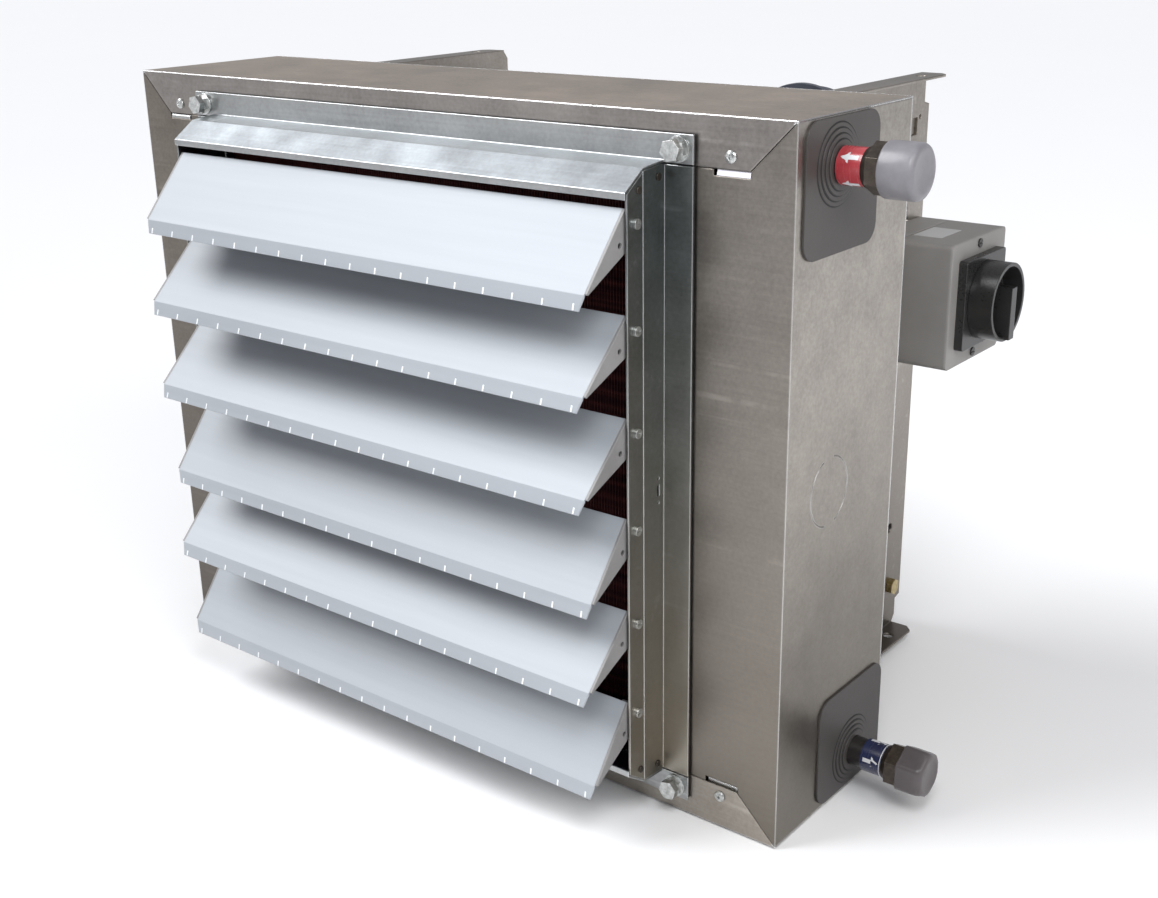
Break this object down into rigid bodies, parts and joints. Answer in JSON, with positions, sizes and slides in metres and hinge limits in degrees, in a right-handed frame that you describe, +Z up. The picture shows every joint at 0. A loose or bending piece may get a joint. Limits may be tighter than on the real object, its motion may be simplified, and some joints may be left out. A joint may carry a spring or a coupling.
{
  "type": "fan convector heater",
  "caption": "Wall or ceiling hung hot-water fan heater: sheet casing, tilting outlet slats, finned coil, axial fan, pipe connections, service switch and brackets.",
  "frame": {"origin": "in the wall plane, at the centre of the four wall fixing holes, at half the casing's height", "axes": "+Y into the wall, so the warm air leaves towards -Y; +Z up; +X towards the pipe side, on the right when facing the outlet"},
  "size_m": [0.7068, 0.459, 0.51],
  "materials": {
    "casing_sheet": "galvanised sheet, faint spangle, satin",
    "frame_sheet": "galvanised sheet, darker, rolling marks",
    "zinc": "bright zinc plated",
    "yellow_zinc": "yellow zinc plated",
    "slat_white": "satin white powder coat",
    "slat_cap": "grey moulded",
    "seal": "black foam strip",
    "fin": "fins with a dark red-brown coating",
    "copper": "copper tube, dull",
    "coil_frame": "galvanised",
    "pipe_steel": "black steel pipe",
    "union": "dark brown-grey fitting",
    "rubber": "dark grey rubber",
    "red_band": "glossy red sleeve",
    "blue_band": "glossy navy sleeve",
    "cap": "grey, slightly see-through",
    "ring_steel": "galvanised, drawn",
    "guard_wire": "black coated wire",
    "motor": "dark grey casting",
    "bearing": "ground steel",
    "blade": "black, slight sheen",
    "box_dark": "dark blue-grey moulded",
    "gland": "black moulded",
    "switch_grey": "mid-grey, fine grain",
    "switch_black": "black, semi-gloss"
  },
  "bodies": {
    "casing": {"top_panel": "casing_sheet", "bottom_panel": "casing_sheet", "left_panel": "casing_sheet", "right_panel": "casing_sheet", "rear_panel": "casing_sheet", "sheet_screws": "zinc", "frame_gasket": "seal", "frame_top": "frame_sheet", "frame_bottom": "frame_sheet", "frame_left": "frame_sheet", "frame_right": "frame_sheet", "frame_bolts": "zinc", "frame_nuts": "zinc", "frame_washers": "zinc", "frame_rivets": "zinc", "pivot_screws": "zinc", "coil_fins": "fin", "coil_hairpins": "copper", "coil_plates": "coil_frame", "flow_header": "pipe_steel", "return_header": "pipe_steel", "pipe_grommets": "rubber", "pipe_unions": "union", "flow_band": "red_band", "return_band": "blue_band", "inlet_ring": "ring_steel", "fan_guard": "guard_wire", "motor_stator": "motor", "motor_bearings": "bearing", "motor_screws": "zinc", "bracket_left": "casing_sheet", "bracket_right": "casing_sheet", "tie_rails": "casing_sheet", "rail_bolts": "yellow_zinc", "junction_box": "box_dark", "junction_lid": "box_dark", "cable_glands": "gland", "switch_base": "switch_grey", "switch_cover": "switch_grey", "switch_plate": "switch_black", "switch_screws": "zinc"},
    "fan": {"fan_shaft": "bearing", "motor_rotor": "motor", "fan_impeller": "blade"},
    "handle": {"switch_handle": "switch_black", "switch_spindle": "bearing"},
    "flow_cap_body": {"flow_cap": "cap"},
    "return_cap_body": {"return_cap": "cap"},
    "slat_1_body": {"slat_1": "slat_white", "slat_1_caps": "slat_cap"},
    "slat_2_body": {"slat_2": "slat_white", "slat_2_caps": "slat_cap"},
    "slat_3_body": {"slat_3": "slat_white", "slat_3_caps": "slat_cap"},
    "slat_4_body": {"slat_4": "slat_white", "slat_4_caps": "slat_cap"},
    "slat_5_body": {"slat_5": "slat_white", "slat_5_caps": "slat_cap"},
    "slat_6_body": {"slat_6": "slat_white", "slat_6_caps": "slat_cap"}
  },
  "joints": [
    {"name": "slat_1_tilt", "type": "hinge", "parent": "casing", "child": "slat_1_body", "pos_m": [0, -0.405, 0.1887], "axis": [1, 0, 0], "range_deg": [-37, 21]},
    {"name": "slat_2_tilt", "type": "hinge", "parent": "casing", "child": "slat_2_body", "pos_m": [0, -0.405, 0.1187], "axis": [1, 0, 0], "range_deg": [-32, 26]},
    {"name": "slat_3_tilt", "type": "hinge", "parent": "casing", "child": "slat_3_body", "pos_m": [0, -0.405, 0.0487], "axis": [1, 0, 0], "range_deg": [-32, 26]},
    {"name": "slat_4_tilt", "type": "hinge", "parent": "casing", "child": "slat_4_body", "pos_m": [0, -0.405, -0.0213], "axis": [1, 0, 0], "range_deg": [-40, 18]},
    {"name": "slat_5_tilt", "type": "hinge", "parent": "casing", "child": "slat_5_body", "pos_m": [0, -0.405, -0.0913], "axis": [1, 0, 0], "range_deg": [-34, 24]},
    {"name": "slat_6_tilt", "type": "hinge", "parent": "casing", "child": "slat_6_body", "pos_m": [0, -0.405, -0.1613], "axis": [1, 0, 0], "range_deg": [-41, 17]},
    {"name": "fan_spin", "type": "hinge", "parent": "casing", "child": "fan", "pos_m": [0, -0.2, 0], "axis": [0, -1, 0], "continuous": true},
    {"name": "handle_turn", "type": "hinge", "parent": "casing", "child": "handle", "pos_m": [0.309, -0.051, 0.079], "axis": [1, 0, 0], "range_deg": [0, 90]},
    {"name": "flow_cap_pull", "type": "slide", "parent": "casing", "child": "flow_cap_body", "axis": [1, 0, 0], "range_m": [0, 0.03]},
    {"name": "return_cap_pull", "type": "slide", "parent": "casing", "child": "return_cap_body", "axis": [1, 0, 0], "range_m": [0, 0.03]}
  ]
}
